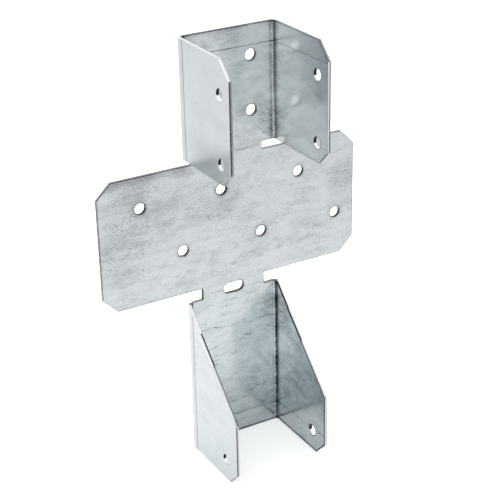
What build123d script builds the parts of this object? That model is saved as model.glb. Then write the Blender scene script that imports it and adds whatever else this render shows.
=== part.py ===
from build123d import *
from collections import Counter
import os

os.makedirs("parts", exist_ok=True)

# One sheet of steel, cut flat and then folded four times. Millimetres, +Z up,
# +X across the plate. The flat back lies in Y = 0 and the flanges point to -Y.
# Z = 0 is the bottom edge of the lower channel.

sheet = 3.0                    # thickness
bend_inside = 3.0              # inside radius of the four folds
edge_roll = 0.25               # edge that the shears and punches draw down on the outer skin
post_width = 90.0              # clear width between each pair of flanges

plate_width = 260.0
plate_height = 122.0
plate_corner = 14.0            # legs of the four clipped corners

neck_width = 64.0
lower_relief = 11.0            # gap between the plate and the lower channel
upper_relief = 7.5             # gap between the plate and the upper channel
relief_radius = 1.2

lower_height = 151.5
lower_depth = 87.0
lower_toe = 14.0               # clip at the toe of each lower flange
lower_front = 65.0             # level where the slanted edge starts
slant_top_depth = 6.0
slant_top_drop = 3.0
stroke_ends = (0.22, 0.5, 0.95)  # shares of the slanted edge, one shear stroke each
stroke_step = 0.8              # how far one stroke steps off the next

upper_height = 108.0
upper_depth = 89.0
upper_top_clip = 15.0
upper_bottom_clip = 13.0

hole = 10.5                    # clearance hole for a 10 mm bolt
row_pitch = 80.0
row_gap = 50.0
row_above_centre = 31.5        # upper row over the middle of the plate
row_shift = 10.0               # upper row's middle hole left of the centre line
back_hole_across = 44.0
back_hole_apart = 50.0
back_hole_from_top = 27.0
upper_flange_hole_from_front = 16.0
upper_flange_hole_from_top = 30.0
upper_flange_hole_apart = 60.0
lower_flange_hole_from_front = 20.0
lower_flange_hole_from_bottom = 20.5
slot_length = 21.0
slot_height = 10.0
slot_below_neck_middle = 1.0

bend_outside = bend_inside + sheet
outer_width = post_width + 2 * sheet
plate_bottom = lower_height + lower_relief
plate_top = plate_bottom + plate_height
upper_bottom = plate_top + upper_relief
overall_height = upper_bottom + upper_height
past = 2.0                     # how far a cutter runs past the metal


def plate():
    """Flat wing plate with clipped corners."""
    face = chamfer(Rectangle(plate_width, plate_height).vertices(), plate_corner)
    return standing(face, (plate_bottom + plate_top) / 2)


def neck():
    """Strip that joins the plate to both channels."""
    low = lower_height - bend_outside
    high = upper_bottom + bend_outside
    return standing(Rectangle(neck_width, high - low), (low + high) / 2)


def standing(face, middle_height):
    """Turns a face drawn in X and Z into sheet whose back is in Y = 0."""
    wall = Plane(origin=(0, 0, middle_height), x_dir=(1, 0, 0), z_dir=(0, -1, 0))
    return extrude(wall * face, sheet)


def channel(depth, bottom, height, side):
    """Folded channel open to -Y, trimmed to the outline of its flanges."""
    outside = Pos(0, -depth / 2) * Rectangle(outer_width, depth)
    outside = fillet(outside.vertices().sort_by(Axis.Y)[-2:], bend_outside)
    inside = Pos(0, -sheet - depth / 2) * Rectangle(post_width, depth)
    inside = fillet(inside.vertices().sort_by(Axis.Y)[-2:], bend_inside)
    folded = extrude(Pos(0, 0, bottom) * (outside - inside), height)
    across = Plane(origin=(-outer_width, 0, 0), x_dir=(0, 1, 0), z_dir=(1, 0, 0))
    trim = extrude(across * make_face(Polyline(*side, close=True)), 2 * outer_width)
    return folded & trim


def upper_side():
    """Outline of an upper flange as (y, z) points."""
    front = -upper_depth
    return [
        (past, upper_bottom),
        (front + upper_bottom_clip, upper_bottom),
        (front, upper_bottom + upper_bottom_clip),
        (front, overall_height - upper_top_clip),
        (front + upper_top_clip, overall_height),
        (past, overall_height),
    ]


def lower_side():
    """Outline of a lower flange, whose slanted edge was sheared in strokes."""
    front = -lower_depth
    low = Vector(front, lower_front)
    high = Vector(-slant_top_depth, lower_height - slant_top_drop)
    run = low - high
    inward = Vector(run.Y, -run.X).normalized() * stroke_step
    if inward.X < 0:
        inward = -inward
    outline = [(past, lower_height), (-sheet, lower_height), (high.X, high.Y)]
    for share in stroke_ends:
        end = high + run * share
        outline.append((end.X, end.Y))
        start = end + inward
        outline.append((start.X, start.Y))
    outline += [
        (low.X, low.Y),
        (front, lower_toe),
        (front + lower_toe, 0),
        (past, 0),
    ]
    return outline


def back_holes(points):
    """Cutters through the flat back at (x, z) points."""
    through = Cylinder(hole / 2, sheet + 2 * past, rotation=(90, 0, 0))
    return [Pos(x, -sheet / 2, z) * through for x, z in points]


def flange_holes(points):
    """Cutters through both flanges at (y, z) points."""
    through = Cylinder(hole / 2, outer_width + 2 * past, rotation=(0, 90, 0))
    return [Pos(0, y, z) * through for y, z in points]


def slot():
    """Cutter for the long hole in the lower neck."""
    level = lower_height + lower_relief / 2 - slot_below_neck_middle
    wall = Plane(origin=(0, past, level), x_dir=(1, 0, 0), z_dir=(0, -1, 0))
    return extrude(wall * SlotOverall(slot_length, slot_height), sheet + 2 * past)


def hole_points():
    """Staggered plate holes and the four holes in the upper back."""
    upper_row = (plate_bottom + plate_top) / 2 + row_above_centre
    points = []
    for step in (-1, 0, 1):
        points.append((step * row_pitch - row_shift, upper_row))
        points.append(((step + 0.5) * row_pitch - row_shift, upper_row - row_gap))
    for side in (-0.5, 0.5):
        for row in (0, 1):
            level = overall_height - back_hole_from_top - row * back_hole_apart
            points.append((side * back_hole_across, level))
    return points


def flange_points():
    """Holes that pass through both flanges of a channel."""
    upper_y = upper_flange_hole_from_front - upper_depth
    top = overall_height - upper_flange_hole_from_top
    return [
        (upper_y, top),
        (upper_y, top - upper_flange_hole_apart),
        (lower_flange_hole_from_front - lower_depth, lower_flange_hole_from_bottom),
    ]


def relief_corners(body):
    """Inner corners of the four relief notches."""
    levels = (lower_height, plate_bottom, plate_top, upper_bottom)
    return [
        edge
        for edge in body.edges().filter_by(Axis.Y)
        if abs(abs(edge.center().X) - neck_width / 2) < 0.01
        and min(abs(edge.center().Z - level) for level in levels) < 0.01
    ]


def is_skin(face):
    """True for the outer side of the sheet: flat back, folds and flanges."""
    if face.geom_type == GeomType.CYLINDER:
        folded = face.axis_of_rotation.is_parallel(Axis.Z)
        return folded and abs(face.radius - bend_outside) < 0.01
    centre = face.center()
    normal = face.normal_at()
    flat_back = abs(centre.Y) < 0.01 and abs(normal.Y) > 0.99
    flange = abs(abs(centre.X) - outer_width / 2) < 0.01 and abs(normal.X) > 0.99
    return flat_back or flange


def cut_edges(body):
    """Edges where the outer skin meets a cut face."""
    skin = [face for face in body.faces() if is_skin(face)]
    sides = Counter(edge for face in skin for edge in face.edges())
    return [edge for edge, count in sides.items() if count == 1]


def roll_edges(body):
    """Eases the outer side of each hole and rounds the outline and the slot."""
    holes = [edge for edge in cut_edges(body) if edge.is_closed]
    body = chamfer(holes, edge_roll)
    outline = [edge for edge in cut_edges(body) if edge.geom_type == GeomType.LINE]
    return fillet(outline, edge_roll)


def hanger():
    """The whole folded part."""
    body = plate() + neck()
    body += channel(lower_depth, 0, lower_height, lower_side())
    body += channel(upper_depth, upper_bottom, upper_height, upper_side())
    body = body.clean()
    body = fillet(relief_corners(body), relief_radius)
    for cutter in back_holes(hole_points()) + flange_holes(flange_points()) + [slot()]:
        body -= cutter
    return roll_edges(body)


part = hanger()
export_step(part, "parts/hanger.step")
print("solids", len(part.solids()), "volume", round(part.volume), "box", part.bounding_box())
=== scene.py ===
import math
import bpy
from mathutils import Matrix, Vector


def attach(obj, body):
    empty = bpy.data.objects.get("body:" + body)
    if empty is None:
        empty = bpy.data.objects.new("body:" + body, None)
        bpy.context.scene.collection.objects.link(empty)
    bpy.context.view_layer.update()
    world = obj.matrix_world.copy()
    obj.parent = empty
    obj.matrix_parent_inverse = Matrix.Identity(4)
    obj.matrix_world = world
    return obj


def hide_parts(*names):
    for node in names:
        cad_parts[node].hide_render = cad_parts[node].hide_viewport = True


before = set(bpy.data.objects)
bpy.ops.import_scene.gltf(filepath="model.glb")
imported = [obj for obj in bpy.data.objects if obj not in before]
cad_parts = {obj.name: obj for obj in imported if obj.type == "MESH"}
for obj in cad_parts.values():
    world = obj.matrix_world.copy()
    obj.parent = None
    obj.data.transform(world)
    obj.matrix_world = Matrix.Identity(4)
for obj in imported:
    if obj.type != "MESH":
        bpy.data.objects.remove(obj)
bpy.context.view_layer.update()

scene = bpy.context.scene


def toLinear(hexCode):
    values = [int(hexCode[i:i + 2], 16) / 255 for i in (1, 3, 5)]
    return [v / 12.92 if v <= 0.04045 else ((v + 0.055) / 1.055) ** 2.4 for v in values] + [1.0]


def addNode(tree, kind, settings=None, links=None):
    # a link comes from a socket, or from a node's first output
    node = tree.nodes.new(kind)
    for key, value in (settings or {}).items():
        if isinstance(key, str) and hasattr(node, key):
            setattr(node, key, value)
        else:
            node.inputs[key].default_value = value
    for key, source in (links or {}).items():
        socket = source if isinstance(source, bpy.types.NodeSocket) else source.outputs[0]
        tree.links.new(socket, node.inputs[key])
    return node


def newTree(owner):
    owner.use_nodes = True
    owner.node_tree.nodes.clear()
    return owner.node_tree


# camera at the photograph's viewing angle, in degrees and metres, with a sensor in mm
view = {"azimuth": -29.85, "elevation": 25.43, "roll": -1.11, "distance": 1.2585,
        "target": (0.01966, 0.0, 0.1869), "focalPixels": 1374.8, "framePixels": 500, "sensor": 36}
azimuth, elevation, roll = (math.radians(view[k]) for k in ("azimuth", "elevation", "roll"))
backward = Vector((math.sin(azimuth) * math.cos(elevation),
                   -math.cos(azimuth) * math.cos(elevation), math.sin(elevation)))
right = Vector((math.cos(azimuth), math.sin(azimuth), 0))
up = backward.cross(right)
cameraData = bpy.data.cameras.new("camera")
cameraData.sensor_width = view["sensor"]
cameraData.lens = view["sensor"] * view["focalPixels"] / view["framePixels"]
cameraObject = bpy.data.objects.new("camera", cameraData)
scene.collection.objects.link(cameraObject)
turn = Matrix((right * math.cos(roll) + up * math.sin(roll),
               up * math.cos(roll) - right * math.sin(roll), backward)).transposed().to_4x4()
eye = Vector(view["target"]) + backward * view["distance"]
cameraObject.matrix_world = Matrix.Translation(eye) @ turn
scene.camera = cameraObject
print("camera placed")

# white table and a soft studio: the camera sees the table white but for the shadow in the channel,
# which a painted shadow deepens where its glow is lower; and metal mirrors a table painted darker with
# distance, a painted pool of light, and a room a little brighter than it lights
studio = {"tableSize": 12.0, "tableColour": "#F2F2F2",
          "shadowMiddle": (0.0, -0.045, 0.0), "shadowCore": 0.03, "shadowReach": 0.25,
          "glowInChannel": 0.34, "glowAround": 0.6,
          "brightMiddle": (-0.1, 0.15, 0.0), "nearTable": 0.1, "farTable": 0.8, "farShare": 0.80,
          "roomLight": 1.33, "roomMirrored": 1.45, "roomSeen": 1.0, "lampAim": (0.0, 0.0, 0.15)}
bpy.ops.object.select_all(action="DESELECT")
bpy.ops.mesh.primitive_plane_add(size=studio["tableSize"], location=(0, 0, 0))
table = bpy.context.object
table.name = "table"
paper = bpy.data.materials.new("whitePaper")
tree = newTree(paper)
rays = addNode(tree, "ShaderNodeLightPath")
place = addNode(tree, "ShaderNodeTexCoord").outputs["Object"]
# a painted pool of light: metal sees the table's colour full near the bright middle, less far away
away = addNode(tree, "ShaderNodeVectorMath",
               {"operation": "DISTANCE", 1: studio["brightMiddle"]}, {0: place}).outputs["Value"]
paintedPoolFalloff = addNode(tree, "ShaderNodeMapRange",
                  {"From Min": studio["nearTable"], "From Max": studio["farTable"],
                   "To Min": 1.0, "To Max": studio["farShare"]}, {"Value": away})
share = addNode(tree, "ShaderNodeMix", {"data_type": "FLOAT", 2: 1.0},
                {0: rays.outputs["Is Glossy Ray"], 3: paintedPoolFalloff})
colour = addNode(tree, "ShaderNodeVectorMath",
                 {"operation": "SCALE", 0: toLinear(studio["tableColour"])[:3]}, {"Scale": share})
diffuse = addNode(tree, "ShaderNodeBsdfDiffuse", {}, {"Color": colour})
# a painted shadow: the camera sees less glow on the table near the channel
away = addNode(tree, "ShaderNodeVectorMath",
               {"operation": "DISTANCE", 1: studio["shadowMiddle"]}, {0: place}).outputs["Value"]
shadowedGlow = addNode(tree, "ShaderNodeMapRange",
               {"interpolation_type": "SMOOTHSTEP",
                "From Min": studio["shadowCore"], "From Max": studio["shadowReach"],
                "To Min": studio["glowInChannel"], "To Max": studio["glowAround"]}, {"Value": away})
strength = addNode(tree, "ShaderNodeMath", {"operation": "MULTIPLY"},
                   {0: shadowedGlow, 1: rays.outputs["Is Camera Ray"]})
glow = addNode(tree, "ShaderNodeEmission", {}, {"Strength": strength})
both = addNode(tree, "ShaderNodeAddShader", {}, {0: diffuse, 1: glow})
addNode(tree, "ShaderNodeOutputMaterial", {}, {"Surface": both})
table.data.materials.append(paper)

world = bpy.data.worlds.new("studio")
scene.world = world
tree = newTree(world)
rays = addNode(tree, "ShaderNodeLightPath")
mirrored = addNode(tree, "ShaderNodeMix",
                   {"data_type": "FLOAT", 2: studio["roomLight"], 3: studio["roomMirrored"]},
                   {0: rays.outputs["Is Glossy Ray"]})
strength = addNode(tree, "ShaderNodeMix", {"data_type": "FLOAT", 3: studio["roomSeen"]},
                   {0: rays.outputs["Is Camera Ray"], 2: mirrored})
sky = addNode(tree, "ShaderNodeBackground", {}, {"Strength": strength})
addNode(tree, "ShaderNodeOutputWorld", {}, {"Surface": sky})

lamps = {"left": {"place": (-1.0, 0.1, 2.0), "size": 2.0, "power": 9},
         "rear": {"place": (0.3, 1.6, 1.6), "size": 1.5, "power": 5}}
for name, lamp in lamps.items():
    data = bpy.data.lights.new(name, "AREA")
    data.shape = "SQUARE"
    data.size = lamp["size"]
    data.energy = lamp["power"]
    lampObject = bpy.data.objects.new(name, data)
    scene.collection.objects.link(lampObject)
    lampObject.location = lamp["place"]
    aim = Vector(studio["lampAim"]) - Vector(lamp["place"])
    lampObject.rotation_euler = aim.to_track_quat("-Z", "Y").to_euler()
print("studio lit")


# hanger: a copy of the CAD sheet with its doubles merged, so that folds shade smoothly; it is in
# metres and degrees, but its holes are in mm: (x, z) in the plate and the back, (y, z) in the flanges
sheet = {"thickness": 0.003, "bendInside": 0.003, "clearHalf": 0.045, "neckReach": 0.034,
         "lowerTop": 0.1515, "upperBottom": 0.292, "flangeFrom": -0.02,
         "plateHoles": [(-90, 255), (-50, 205), (-10, 255), (30, 205), (70, 255), (110, 205)],
         "backHoles": [(-22, 373), (22, 373), (-22, 323), (22, 323)],
         "flangeHoles": [(-73, 370), (-73, 310), (-67, 20.5)], "holeReach": 0.0062,
         "slotLevel": 0.156, "slotHalves": (0.0108, 0.0053),
         "strokeLevels": (0.130, 0.106),  # where one shear stroke ends and the next starts
         "doubles": 0.000005, "slack": 0.0002, "wallSlack": 0.0005,
         "innerShare": 0.1,  # points this near the inner face, as a share of the sheet, are on it
         "shadedRim": 0.001, "flatAngle": 0.3, "smoothAngle": 32, "flatWeight": 100}
bpy.ops.object.select_all(action="DESELECT")
hanger = bpy.data.objects.new("hanger_sheet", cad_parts["hanger"].data.copy())
scene.collection.objects.link(hanger)
hanger.data.materials.clear()
for name in ("galvanisedSheet", "shearedEdge"):
    hanger.data.materials.append(bpy.data.materials.new(name))
bpy.context.view_layer.objects.active = hanger
hanger.select_set(True)
bpy.ops.object.mode_set(mode="EDIT")
bpy.ops.mesh.select_all(action="SELECT")
bpy.ops.mesh.remove_doubles(threshold=sheet["doubles"])
bpy.ops.mesh.select_all(action="DESELECT")
bpy.ops.object.mode_set(mode="OBJECT")
print("hanger copied,", len(hanger.data.polygons), "faces")


def acrossSheet(point):
    # depth from 0 at the inner face to 1 at the outer skin, and the way through the sheet
    x = abs(point.x)
    side = math.copysign(1, point.x)
    fold = sheet["clearHalf"] - sheet["bendInside"]
    line = -sheet["thickness"] - sheet["bendInside"]
    inLower = point.z < sheet["lowerTop"] + sheet["slack"]
    inUpper = point.z > sheet["upperBottom"] - sheet["slack"]
    if x < fold or not (inLower or inUpper):
        return (point.y + sheet["thickness"]) / sheet["thickness"], Vector((0, 1, 0))
    if point.y < line:
        return (x - sheet["clearHalf"]) / sheet["thickness"], Vector((side, 0, 0))
    outward = Vector((x - fold, point.y - line))
    return ((outward.length - sheet["bendInside"]) / sheet["thickness"],
            Vector((side * outward.x, outward.y, 0)).normalized())


# tones of the sheared stretches: inner half, outer half, dark burr line along both sides, partly burr
# and partly painted shade; most are dull, the lighter ones are painted highlights where a stretch faced
# the light, and the darker ones, as in the hole walls and the notch, painted shade
edgeTonesAndLight = {"dull": (0.24, 0.28, 0.1), "notch": (-0.05, -0.05, 0.0),
             "holeWall": (-0.1, -0.1, 0.0), "holeFoot": (1.0, 1.0, 0.0),
             "plateTop": (0.18, 0.18, 0.0), "backTop": (0.12, 0.26, 0.0),
             "rightTop": (0.16, 0.38, 0.0), "upperLeftTop": (0.62, 0.66, 0.3),
             "upperLeftClip": (0.6, 1.0, 0.1), "leftHeel": (0.6, 0.5, 0.0),
             "rightHeel": (-0.1, 1.0, 0.0), "upperLeftFront": (0.34, 0.04, 0.0),
             "upperRightFront": (0.95, 0.12, 0.25), "rightStroke": (-0.1, 1.0, 0.0),
             "rightLastStroke": (0.2, 1.0, 0.0), "firstStroke": (0.84, 0.92, 0.3),
             "secondStroke": (-0.1, 0.95, 0.0), "thirdStroke": (0.35, 0.85, 0.3),
             "lowerLeftFront": (0.88, 0.14, 0.0), "lowerRightFront": (0.92, 0.86, 1.2)}
# a normal's share through the sheet (cut), along +Z (foot, top, slant) and along +Y (front, clip)
leaning = {"cut": 0.6, "foot": 0.35, "top": 0.5, "slant": 0.2, "front": -0.95, "clip": -0.5}


def inHole(centre):
    for x, z in sheet["plateHoles"] + sheet["backHoles"]:
        if math.hypot(centre.x - x / 1000, centre.z - z / 1000) < sheet["holeReach"]:
            return True
    for y, z in sheet["flangeHoles"]:
        if math.hypot(centre.y - y / 1000, centre.z - z / 1000) < sheet["holeReach"]:
            return True
    halfLength, halfHeight = sheet["slotHalves"]
    return abs(centre.x) < halfLength and abs(centre.z - sheet["slotLevel"]) < halfHeight


def edgeName(centre, normal):
    if inHole(centre):
        inFlange = centre.y < sheet["flangeFrom"]
        return "holeFoot" if inFlange and normal.z > leaning["foot"] else "holeWall"
    upper = centre.z > sheet["upperBottom"] - sheet["slack"]
    lower = centre.z < sheet["lowerTop"] + sheet["slack"]
    onRight = centre.x > 0
    if not (upper or lower):
        if abs(centre.x) < sheet["neckReach"]:
            return "notch"
        return "plateTop" if normal.z > leaning["top"] else "dull"
    if abs(centre.x) < sheet["clearHalf"] - sheet["wallSlack"]:
        return "backTop" if upper and normal.z > leaning["top"] else "dull"
    if normal.y < leaning["front"]:
        return ("upper" if upper else "lower") + ("Right" if onRight else "Left") + "Front"
    if upper and normal.z > leaning["slant"]:
        if onRight:
            return "rightTop"
        return "upperLeftClip" if normal.y < leaning["clip"] else "upperLeftTop"
    if upper and normal.y < leaning["clip"]:  # the clip under each front corner
        return "rightHeel" if onRight else "leftHeel"
    if normal.z > leaning["slant"]:
        stroke = sum(centre.z <= level for level in sheet["strokeLevels"])
        if onRight:
            return "rightLastStroke" if stroke == len(sheet["strokeLevels"]) else "rightStroke"
        return ("firstStroke", "secondStroke", "thirdStroke")[stroke]
    return "dull"


for face in hanger.data.polygons:
    isCut = abs(face.normal.dot(acrossSheet(face.center)[1])) < leaning["cut"]
    face.material_index = int(isCut)
    face.select = not isCut
# each cut face takes its stretch's tones: painted highlight where it faced the light, painted shade where
# it faced away
tones = hanger.data.attributes.new("edgeTonesAndLight", "FLOAT_VECTOR", "FACE")
for face in hanger.data.polygons:
    if face.material_index == 1:
        tones.data[face.index].vector = edgeTonesAndLight[edgeName(face.center, face.normal)]
# the flat zinc faces become whole, so that their shading stays flat up to the rolled edges
bpy.ops.object.mode_set(mode="EDIT")
bpy.ops.mesh.dissolve_limited(angle_limit=math.radians(sheet["flatAngle"]), delimit={"MATERIAL"})
bpy.ops.mesh.select_all(action="DESELECT")
bpy.ops.object.mode_set(mode="OBJECT")
# a narrow rim along every cut on the inner side, which carries a painted shade along the edge
for face in hanger.data.polygons:
    onInner = acrossSheet(face.center)[0] < sheet["innerShare"]
    face.select = face.material_index == 0 and onInner
bpy.ops.object.mode_set(mode="EDIT")
bpy.ops.mesh.inset(thickness=sheet["shadedRim"], depth=0, use_boundary=True, use_even_offset=False)
bpy.ops.object.mode_set(mode="OBJECT")
for face in hanger.data.polygons:
    if face.select:
        face.select = False
        for index in face.vertices:  # an inset point in a fold goes back onto the inner face
            vertex = hanger.data.vertices[index]
            share, way = acrossSheet(vertex.co)
            vertex.co = vertex.co - way * share * sheet["thickness"]
for name in ("sheetDepth", "shadedRim"):
    hanger.data.attributes.new(name, "FLOAT", "POINT")
depth, shadedRim = hanger.data.attributes["sheetDepth"], hanger.data.attributes["shadedRim"]
for vertex in hanger.data.vertices:
    depth.data[vertex.index].value = min(max(acrossSheet(vertex.co)[0], 0), 1)
for face in hanger.data.polygons:
    for index in face.vertices:
        if face.material_index == 1 and depth.data[index].value < sheet["innerShare"]:
            shadedRim.data[index].value = 1
bpy.ops.object.shade_smooth_by_angle(angle=math.radians(sheet["smoothAngle"]))
weights = hanger.modifiers.new("flatNormals", "WEIGHTED_NORMAL")
weights.keep_sharp = True
weights.weight = sheet["flatWeight"]
bpy.ops.object.modifier_apply(modifier=weights.name)
print("flat faces merged,", len(hanger.data.polygons), "faces")

# hot-dip galvanised sheet, rolled flat after the bath: the zinc is a bright, cool grey mirror
# that is slightly wavy, cloudy in patches and soiled where it was stacked and handled, with painted
# shade and painted light in places; tone 0.5 is its middle grey
zinc = {"dark": "#23292E", "middle": "#DDE3E5", "light": "#F4F7F8", "film": "#FBFEFF",
        "roughness": 0.2, "skinRoughness": 0.08, "soiledRoughness": 0.10, "brightRoughness": -0.04,
        "waveStrength": 0.25, "waveHeight": 0.0004, "skinCalm": 0.25, "rimFull": 0.4, "dirtLimit": 0.7}
# pattern: size in metres, detail, roughness, share of it kept along the rolling direction;
# specks, pins and grain are finer in the real zinc, and are drawn about 1 mm wide so that they show
patterns = {"clouds": (0.045, 2.0, 0.5, 1.0), "patches": (0.014, 3.0, 0.55, 0.55),
            "mottle": (0.005, 4.0, 0.65, 0.55), "streaks": (0.004, 2.0, 0.5, 0.12),
            "bands": (0.011, 3.0, 0.5, 0.12), "wisps": (0.009, 2.0, 0.5, 0.3),
            "dashes": (0.0022, 1.0, 0.5, 0.3), "specks": (0.0009, 1.5, 0.5, 0.45),
            "pins": (0.001, 1.0, 0.5, 1.0), "grain": (0.001, 2.0, 0.6, 1.0)}
# how much each layer lightens the tone, or darkens it below 0; the dashes, the patches and the rim
# take theirs from spans
layerTones = {"clouds": 0.28, "mottle": 0.32, "streaks": 0.08, "bands": -0.045, "grain": 0.7,
              "specks": -0.16, "soot": -0.12, "wisps": -0.14, "smudgeShadeAndLight": -0.8, "scribed": -0.28,
              "creases": -0.45}
# a span reads a pattern or the height in metres, from one level to another, and gives a value
# below and one above
spans = {"dashTone": ("height", 0.13, 0.16, 0.2, 0.09), "patchTone": ("height", 0.13, 0.16, 0.13, 0.08),
         "shadedRimTone": ("height", 0.13, 0.16, 0.7, 0.25), "blueShare": ("height", 0.10, 0.16, 1.0, 0.15),
         "grainShare": ("height", 0.292, 0.312, 1.0, 0.4),
         "smudgeShadeAndLightShare": ("mottle", 0.3, 0.7, 0.8, 1.2), "dirtShare": ("patches", 0.35, 0.65, 0.3, 1.7),
         "speckPatch": ("patches", 0.46, 0.66, 0.0, 1.0), "speckCloud": ("clouds", 0.4, 0.65, 0.0, 1.0),
         "band": ("bands", 0.42, 0.58, 0.0, 1.0), "patch": ("patches", 0.40, 0.60, -0.5, 0.5),
         "wispShare": ("mottle", 0.5, 0.6, 0.0, 1.0), "creaseShare": ("mottle", 0.38, 0.5, 0.3, 1.0)}
speckShares = {"patches": 0.12, "clouds": 0.08, "dirt": 0.36}
# soiled places, painted shade and painted light in mm: side of the sheet, x, y, z, reach, how much
# darker, partly soil and partly painted shade, or brighter below 0, a painted light, and how much
# dirtier
soilAndLightMarks = [("inner", -112, -3, 240, 40, 0.02, 0.27), ("inner", -108, -3, 212, 36, 0.04, 0.30),
         ("inner", -106, -3, 180, 32, 0.0, 0.28), ("inner", -80, -3, 240, 34, 0.05, 0.22),
         ("inner", -83, -3, 279, 14, 0.06, 0.0), ("inner", -45, -3, 277, 14, 0.06, 0.0),
         ("inner", -20, -3, 245, 45, 0.05, 0.12), ("inner", 88, -3, 270, 22, 0.05, 0.15),
         ("inner", -5, -3, 384, 40, 0.07, 0.0), ("inner", 0, -3, 240, 30, 0.05, 0.0),
         ("inner", 41, -3, 310, 20, 0.0, 0.75), ("inner", 45, -9, 312, 14, 0.0, 0.5),
         ("inner", -65, -3, 268, 34, 0.07, 0.0), ("inner", 120, -3, 238, 24, 0.13, 0.3),
         ("inner", -100, -3, 272, 24, 0.12, 0.0), ("inner", 45, -32, 386, 26, -0.12, 0.0),
         ("inner", 45, -76, 357, 15, 0.11, 0.0), ("inner", 45, -40, 335, 48, -0.14, 0.0),
         ("inner", 45, -46, 88, 40, 0.05, 0.1), ("inner", 45, -16, 125, 30, 0.05, 0.05),
         ("inner", 45, -62, 74, 26, -0.08, 0.0), ("inner", 45, -62, 30, 30, -0.11, 0.0),
         ("inner", -14, -3, 122, 45, -0.13, 0.2), ("inner", 10, -3, 80, 40, -0.07, 0.1),
         ("inner", 39, -3, 66, 14, 0.04, 0.35), ("inner", -18, -3, 112, 18, 0.0, 0.12),
         ("outer", -48, -50, 290, 45, 0.09, 0.0), ("outer", -48, -60, 330, 60, 0.04, 0.0)]
# a grey halo round each plate hole, left by bolts and washers, in mm
halo = {"core": 5.5, "reach": 10.5, "darker": 0.08, "dirtier": 0.25}
tree = newTree(hanger.data.materials["galvanisedSheet"])
place = addNode(tree, "ShaderNodeTexCoord").outputs["Object"]
depthRead = addNode(tree, "ShaderNodeAttribute", {"attribute_name": "sheetDepth"}).outputs["Fac"]
shadedRimRead = addNode(tree, "ShaderNodeAttribute", {"attribute_name": "shadedRim"}).outputs["Fac"]
innerSide = addNode(tree, "ShaderNodeMath", {"operation": "SUBTRACT", 0: 1.0}, {1: depthRead})
split = addNode(tree, "ShaderNodeSeparateXYZ", {}, {0: place})
across, height = split.outputs["X"], split.outputs["Z"]
sideways = addNode(tree, "ShaderNodeMath", {"operation": "ABSOLUTE"}, {0: across})
forwards = addNode(tree, "ShaderNodeMath", {"operation": "ABSOLUTE"}, {0: split.outputs["Y"]})
along = addNode(tree, "ShaderNodeMath", {"operation": "ADD"}, {0: sideways, 1: forwards})
field = {"height": height}
for name, (size, detail, roughness, kept) in patterns.items():
    # the sheet was rolled along X, which the folds turn into Y
    stretched = addNode(tree, "ShaderNodeMapping", {"Scale": (kept, kept, 1.0)}, {0: place})
    field[name] = addNode(tree, "ShaderNodeTexNoise",
                          {"Scale": 1 / size, "Detail": detail, "Roughness": roughness},
                          {"Vector": stretched}).outputs["Fac"]
span = {}
for name, (reading, low, high, below, above) in spans.items():
    span[name] = addNode(tree, "ShaderNodeMapRange",
                         {"From Min": low, "From Max": high, "To Min": below, "To Max": above},
                         {"Value": field[reading]})


def stackTones(start, layers):
    # start plus each layer's strength times how far the layer is over its middle, in the tree
    # that is being built
    total = None
    for layer, strength, middle in layers:
        over = addNode(tree, "ShaderNodeMath", {"operation": "SUBTRACT", 1: middle}, {0: layer})
        total = addNode(tree, "ShaderNodeMath", {"operation": "MULTIPLY_ADD", 1: strength, 2: start},
                        {0: over} if total is None else {0: over, 2: total})
    return total


# each mark and halo is full up to its core and gone at its reach
spots = [(side, x, y, z, reach / 4, reach, dark, dirt) for side, x, y, z, reach, dark, dirt in soilAndLightMarks]
for x, z in sheet["plateHoles"]:
    spots.append(("inner", x, -3, z, halo["core"], halo["reach"], halo["darker"], halo["dirtier"]))
darker, dirtier = [], []
for side, x, y, z, core, reach, dark, dirt in spots:
    away = addNode(tree, "ShaderNodeVectorMath",
                   {"operation": "DISTANCE", 1: (x / 1000, y / 1000, z / 1000)},
                   {0: place}).outputs["Value"]
    near = addNode(tree, "ShaderNodeMapRange",
                   {"interpolation_type": "SMOOTHSTEP", "From Min": core / 1000,
                    "From Max": reach / 1000, "To Max": 0.0},
                   {"Value": away, "To Min": innerSide if side == "inner" else depthRead})
    darker.append((near, dark, 0.0))
    dirtier.append((near, dirt, 0.0))
# painted shade under the top edges of the left wing and of the upper back: in metres, the span in x
# or y where it comes in and the span in height, and how much darker; the foot carries a painted
# contact shadow and has no limit in x or y
topShades = [(across, -0.03, -0.045, 0.276, 0.2842, 0.2), (forwards, 0.010, 0.006, 0.396, 0.3998, 0.2)]
footShade = (0.0035, 0.0005, 0.55)
for reading, outside, inside, start, end, dark in topShades:
    here = addNode(tree, "ShaderNodeMapRange", {"From Min": outside, "From Max": inside},
                   {"Value": reading, "To Max": innerSide})
    underTop = addNode(tree, "ShaderNodeMapRange", {"From Min": start, "From Max": end},
                       {"Value": height, "To Max": here})
    darker.append((underTop, dark, 0.0))
start, end, dark = footShade
foot = addNode(tree, "ShaderNodeMapRange", {"From Min": start, "From Max": end},
               {"Value": height, "To Max": innerSide})
darker.append((foot, dark, 0.0))
# the mottle breaks up the smudges, the painted shade and the painted light a little, and the patches
# break the dirt up a lot
smudgeShadeAndLight = addNode(tree, "ShaderNodeMath", {"operation": "MULTIPLY"},
                 {0: stackTones(0.0, darker), 1: span["smudgeShadeAndLightShare"]})
dirtHere = addNode(tree, "ShaderNodeMath", {"operation": "MULTIPLY"},
                   {0: stackTones(0.0, dirtier), 1: span["dirtShare"]})
dirtHere = addNode(tree, "ShaderNodeMath", {"operation": "MINIMUM", 1: zinc["dirtLimit"]},
                   {0: dirtHere})

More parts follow.
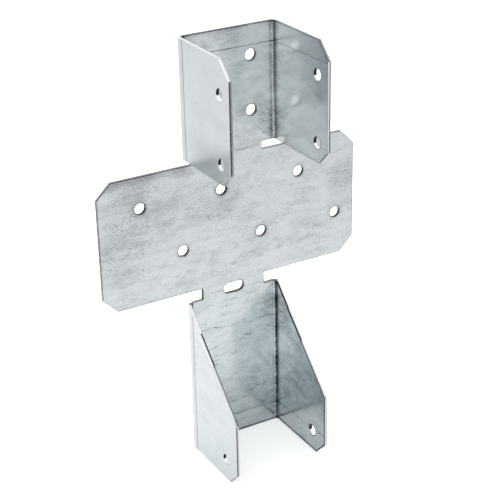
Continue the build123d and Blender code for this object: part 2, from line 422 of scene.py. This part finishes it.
# specks gather and the grain grows stronger in the darker patches and in the soiled places
speckShare = stackTones(0.0, [(span["speckPatch"], speckShares["patches"], 0.0),
                              (span["speckCloud"], speckShares["clouds"], 0.0),
                              (dirtHere, speckShares["dirt"], 0.0)])
speckOver = addNode(tree, "ShaderNodeMath", {"operation": "ADD"}, {0: field["specks"], 1: speckShare})
speckle = addNode(tree, "ShaderNodeMapRange", {"From Min": 0.80, "From Max": 0.96}, {"Value": speckOver})
sooty = addNode(tree, "ShaderNodeMapRange", {"From Min": 0.25, "From Max": 0.6}, {"Value": dirtHere})
soot = addNode(tree, "ShaderNodeMapRange", {"From Min": 0.50, "From Max": 0.60},
               {"Value": field["pins"], "To Max": sooty})
coarse = addNode(tree, "ShaderNodeMapRange", {"From Max": 0.3, "To Min": 0.9, "To Max": 1.9},
                 {"Value": speckShare})
# the upper channel was handled least and has the faintest grain
coarse = addNode(tree, "ShaderNodeMath", {"operation": "MULTIPLY"}, {0: coarse, 1: span["grainShare"]})
grainOver = addNode(tree, "ShaderNodeMath", {"operation": "SUBTRACT", 1: 0.5}, {0: field["grain"]})
grainTone = addNode(tree, "ShaderNodeMath", {"operation": "MULTIPLY"}, {0: grainOver, 1: coarse})

# bands along the rolling direction, with short dashes at their borders
bandOver = addNode(tree, "ShaderNodeMath", {"operation": "SUBTRACT", 1: 0.5}, {0: field["bands"]})
bandOver = addNode(tree, "ShaderNodeMath", {"operation": "ABSOLUTE"}, {0: bandOver})
border = addNode(tree, "ShaderNodeMapRange", {"From Max": 0.07, "To Min": 1.0, "To Max": 0.0},
                 {"Value": bandOver})
dashed = addNode(tree, "ShaderNodeMapRange", {"From Min": 0.54, "From Max": 0.68},
                 {"Value": field["dashes"], "To Max": border})
# the dashes and the patches show more in the lower channel
dashed = addNode(tree, "ShaderNodeMath", {"operation": "MULTIPLY"}, {0: dashed, 1: span["dashTone"]})
patched = addNode(tree, "ShaderNodeMath", {"operation": "MULTIPLY"},
                  {0: span["patch"], 1: span["patchTone"]})
# wisps: thin wavy lines along the rolling direction, broken by the mottle and the clouds
broken = addNode(tree, "ShaderNodeMapRange", {"From Min": 0.42, "From Max": 0.56},
                 {"Value": field["clouds"], "To Max": span["wispShare"]})
wispOver = addNode(tree, "ShaderNodeMath", {"operation": "SUBTRACT", 1: 0.5}, {0: field["wisps"]})
wispOver = addNode(tree, "ShaderNodeMath", {"operation": "ABSOLUTE"}, {0: wispOver})
wispy = addNode(tree, "ShaderNodeMapRange", {"From Min": 0.006, "From Max": 0.035, "To Max": 0.0},
                {"Value": wispOver, "To Min": broken})

# folds: darker along both tangent lines of each fold, partly zinc crushed dull and partly painted
# shade in the bend, and the press marked the skin beside it; the spots run across the fold, and a
# level of 0.5 changes nothing
folds = {"upper": [(0.0, 0.5), (0.15, 0.47), (0.25, 0.30), (0.31, 0.24), (0.36, 0.36),
                   (0.41, 0.38), (0.45, 0.26), (0.51, 0.30), (0.58, 0.44), (0.75, 0.5)],
         "lower": [(0.0, 0.5), (0.20, 0.49), (0.28, 0.42), (0.35, 0.26), (0.385, 0.0),
                   (0.425, 0.0), (0.465, 0.14), (0.54, 0.27), (0.63, 0.40), (0.8, 0.5)],
         "outer": [(0.0, 0.5), (0.30, 0.49), (0.60, 0.47), (0.63, 0.28), (0.70, 0.28), (0.74, 0.5)]}
# |x| + |y| in metres where the spots start and end; and the stretch between the channels, which
# has no fold, by its middle and its half height
foldReach = {"inner": (0.040, 0.060), "outer": (0.050, 0.065), "unfolded": (0.2218, 0.0702)}
crushedAndShaded = {}
for name, levels in folds.items():
    start, end = foldReach["outer" if name == "outer" else "inner"]
    profile = addNode(tree, "ShaderNodeMapRange", {"From Min": start, "From Max": end}, {"Value": along})
    crushedAndShaded[name] = addNode(tree, "ShaderNodeValToRGB", {}, {"Fac": profile})
    stops = crushedAndShaded[name].color_ramp.elements
    for spot, level in levels[1:-1]:
        stops.new(spot).color = (level, level, level, 1)
    for stop, (spot, level) in ((stops[0], levels[0]), (stops[-1], levels[-1])):
        stop.position = spot
        stop.color = (level, level, level, 1)
middle, halfHeight = foldReach["unfolded"]
isUpper = addNode(tree, "ShaderNodeMath", {"operation": "GREATER_THAN", 1: middle}, {0: height})
innerFold = addNode(tree, "ShaderNodeMix", {"data_type": "FLOAT"},
                    {0: isUpper, 2: crushedAndShaded["lower"], 3: crushedAndShaded["upper"]})
fold = addNode(tree, "ShaderNodeMix", {"data_type": "FLOAT"},
               {0: depthRead, 2: innerFold, 3: crushedAndShaded["outer"]})
onPlate = addNode(tree, "ShaderNodeMath", {"operation": "COMPARE", 1: middle, 2: halfHeight},
                  {0: height})
foldTone = addNode(tree, "ShaderNodeMix", {"data_type": "FLOAT", 3: 0.5}, {0: onPlate, 2: fold})

# thin lines, in metres: half width of the dark core, how far each kind fades out, and how far the
# creases wander
thin = {"core": 0.0002, "scribed": 0.0008, "crease": 0.0009, "wobble": 0.012}
# two lines scribed across the inside of the channels: height at y = 0, rise towards the front
scribes = [(0.38163, 0.023), (0.01946, 0.048)]
scribed = []
for low, rise in scribes:
    level = addNode(tree, "ShaderNodeMath", {"operation": "MULTIPLY_ADD", 1: rise, 2: low},
                    {0: forwards})
    off = addNode(tree, "ShaderNodeMath", {"operation": "SUBTRACT"}, {0: height, 1: level})
    off = addNode(tree, "ShaderNodeMath", {"operation": "ABSOLUTE"}, {0: off})
    line = addNode(tree, "ShaderNodeMapRange",
                   {"From Min": thin["core"], "From Max": thin["scribed"], "To Max": 0.0},
                   {"Value": off, "To Min": innerSide})
    scribed.append((line, 1.0, 0.0))
# creases on the flat back in mm: from x, to x, z at x = 0, rise per mm, strength
creases = [(-40, 43, 117.2, -0.036, 0.5), (-36, 24, 143.2, 0.0, 0.35), (-24, -11, 156.0, -0.02, 0.5),
           (-24, -4, 90.0, 0.04, 0.35), (11, 30, 154.0, -0.04, 0.4), (1, 14, 149.0, 0.05, 0.3),
           (-34, 30, 289.0, 0.0, 0.35)]
worn = addNode(tree, "ShaderNodeMath", {"operation": "MULTIPLY"},
               {0: span["creaseShare"], 1: innerSide})
wobble = addNode(tree, "ShaderNodeMath",
                 {"operation": "MULTIPLY_ADD", 1: thin["wobble"], 2: -thin["wobble"] / 2},
                 {0: field["patches"]})
creased = []
for fromX, toX, level, rise, strength in creases:
    off = addNode(tree, "ShaderNodeMath", {"operation": "MULTIPLY_ADD", 1: -rise}, {0: across, 2: height})
    off = addNode(tree, "ShaderNodeMath", {"operation": "SUBTRACT", 1: level / 1000}, {0: off})
    off = addNode(tree, "ShaderNodeMath", {"operation": "ADD"}, {0: off, 1: wobble})
    off = addNode(tree, "ShaderNodeMath", {"operation": "ABSOLUTE"}, {0: off})
    within = addNode(tree, "ShaderNodeMath",
                     {"operation": "COMPARE", 1: (fromX + toX) / 2000, 2: (toX - fromX) / 2000},
                     {0: across})
    within = addNode(tree, "ShaderNodeMath", {"operation": "MULTIPLY"}, {0: within, 1: worn})
    line = addNode(tree, "ShaderNodeMapRange",
                   {"From Min": thin["core"], "From Max": thin["crease"], "To Max": 0.0},
                   {"Value": off, "To Min": within})
    creased.append((line, strength, 0.0))

# the pattern is calmer on the outer skin, and the painted shade of the rim along the cuts is darker in
# the lower channel
texture = stackTones(0.0, [(field["clouds"], layerTones["clouds"], 0.5), (patched, 1.0, 0.0),
                           (field["mottle"], layerTones["mottle"], 0.5),
                           (field["streaks"], layerTones["streaks"], 0.5),
                           (span["band"], layerTones["bands"], 0.5),
                           (grainTone, layerTones["grain"], 0.0),
                           (speckle, layerTones["specks"], 0.0), (soot, layerTones["soot"], 0.0),
                           (dashed, -1.0, 0.0), (wispy, layerTones["wisps"], 0.0)])
calm = addNode(tree, "ShaderNodeMapRange", {"To Min": 1.0, "To Max": zinc["skinCalm"]},
               {"Value": depthRead})
texture = addNode(tree, "ShaderNodeMath", {"operation": "MULTIPLY"}, {0: texture, 1: calm})
shadedRimTone = addNode(tree, "ShaderNodeMapRange", {"From Max": zinc["rimFull"]},
                  {"Value": shadedRimRead, "To Max": span["shadedRimTone"]})
total = stackTones(0.5, [(texture, 1.0, 0.0), (smudgeShadeAndLight, layerTones["smudgeShadeAndLight"], 0.0), (foldTone, 1.0, 0.5),
                         (stackTones(0.0, scribed), layerTones["scribed"], 0.0),
                         (stackTones(0.0, creased), layerTones["creases"], 0.0),
                         (shadedRimTone, -1.0, 0.0)])
ramp = addNode(tree, "ShaderNodeValToRGB", {}, {"Fac": total})
ramp.color_ramp.elements[0].color = toLinear(zinc["dark"])
ramp.color_ramp.elements[1].color = toLinear(zinc["light"])
ramp.color_ramp.elements.new(0.5).color = toLinear(zinc["middle"])
# the film on the zinc is bluer inside the lower channel
blue = addNode(tree, "ShaderNodeMath", {"operation": "MULTIPLY"}, {0: span["blueShare"], 1: innerSide})
film = addNode(tree, "ShaderNodeMix",
               {"data_type": "RGBA", "blend_type": "MULTIPLY", 7: toLinear(zinc["film"])},
               {0: blue, 6: ramp})
soiled = addNode(tree, "ShaderNodeMapRange",
                 {"From Min": 0.2, "From Max": 0.7,
                  "To Min": zinc["soiledRoughness"], "To Max": zinc["brightRoughness"]},
                 {"Value": total})
rough = stackTones(zinc["roughness"], [(soiled, 1.0, 0.0), (depthRead, zinc["skinRoughness"], 0.0)])
wave = addNode(tree, "ShaderNodeBump",
               {"Strength": zinc["waveStrength"], "Distance": zinc["waveHeight"]},
               {"Height": field["patches"]})
surface = addNode(tree, "ShaderNodeBsdfPrincipled", {"Metallic": 1.0},
                  {"Base Color": film.outputs[2], "Roughness": rough, "Normal": wave})
addNode(tree, "ShaderNodeOutputMaterial", {}, {"Surface": surface})
print("galvanised sheet painted")

# sheared steel: bare of zinc, gritty, torn dull near the inner face and burnished towards the outer
# skin, with each stretch's tones carrying painted highlight and painted shade, and the burr lines
# partly painted shade; the spans run from 0 at the inner face to 1 at the outer skin, and the grit is
# in metres
cut = {"dark": "#2B2F34", "light": "#F2F5F8", "roughness": 0.4, "grit": 0.0015, "gritTone": 0.3,
       "tornToBurnished": (0.3, 0.7), "innerBurrShade": (0.05, 0.35), "outerBurrShade": (0.75, 0.95),
       "outerBurrShadeTone": -0.8}
tree = newTree(hanger.data.materials["shearedEdge"])
place = addNode(tree, "ShaderNodeTexCoord").outputs["Object"]
depthRead = addNode(tree, "ShaderNodeAttribute", {"attribute_name": "sheetDepth"}).outputs["Fac"]
toneRead = addNode(tree, "ShaderNodeAttribute", {"attribute_name": "edgeTonesAndLight"}).outputs["Vector"]
edgeTone = addNode(tree, "ShaderNodeSeparateXYZ", {}, {0: toneRead})
grit = addNode(tree, "ShaderNodeTexNoise", {"Scale": 1 / cut["grit"], "Detail": 2.0}, {"Vector": place})
start, end = cut["tornToBurnished"]
base = addNode(tree, "ShaderNodeMapRange", {"From Min": start, "From Max": end},
               {"Value": depthRead, "To Min": edgeTone.outputs["X"], "To Max": edgeTone.outputs["Y"]})
# dark burr lines along both sides, partly burr and partly painted shade
start, end = cut["innerBurrShade"]
innerBurrShade = addNode(tree, "ShaderNodeMapRange", {"From Min": start, "From Max": end, "To Max": 0.0},
                    {"Value": depthRead, "To Min": edgeTone.outputs["Z"]})
start, end = cut["outerBurrShade"]
outerBurrShade = addNode(tree, "ShaderNodeMapRange", {"From Min": start, "From Max": end},
                    {"Value": depthRead, "To Max": edgeTone.outputs["Z"]})
mottled = stackTones(0.0, [(base, 1.0, 0.0), (grit, cut["gritTone"], 0.5), (innerBurrShade, -1.0, 0.0),
                           (outerBurrShade, cut["outerBurrShadeTone"], 0.0)])
ramp = addNode(tree, "ShaderNodeValToRGB", {}, {"Fac": mottled})
ramp.color_ramp.elements[0].color = toLinear(cut["dark"])
ramp.color_ramp.elements[1].color = toLinear(cut["light"])
surface = addNode(tree, "ShaderNodeBsdfPrincipled", {"Metallic": 1.0, "Roughness": cut["roughness"]},
                  {"Base Color": ramp})
addNode(tree, "ShaderNodeOutputMaterial", {}, {"Surface": surface})
print("sheared edges painted")

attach(hanger, "root")
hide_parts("hanger")

scene.view_settings.view_transform = "Standard"
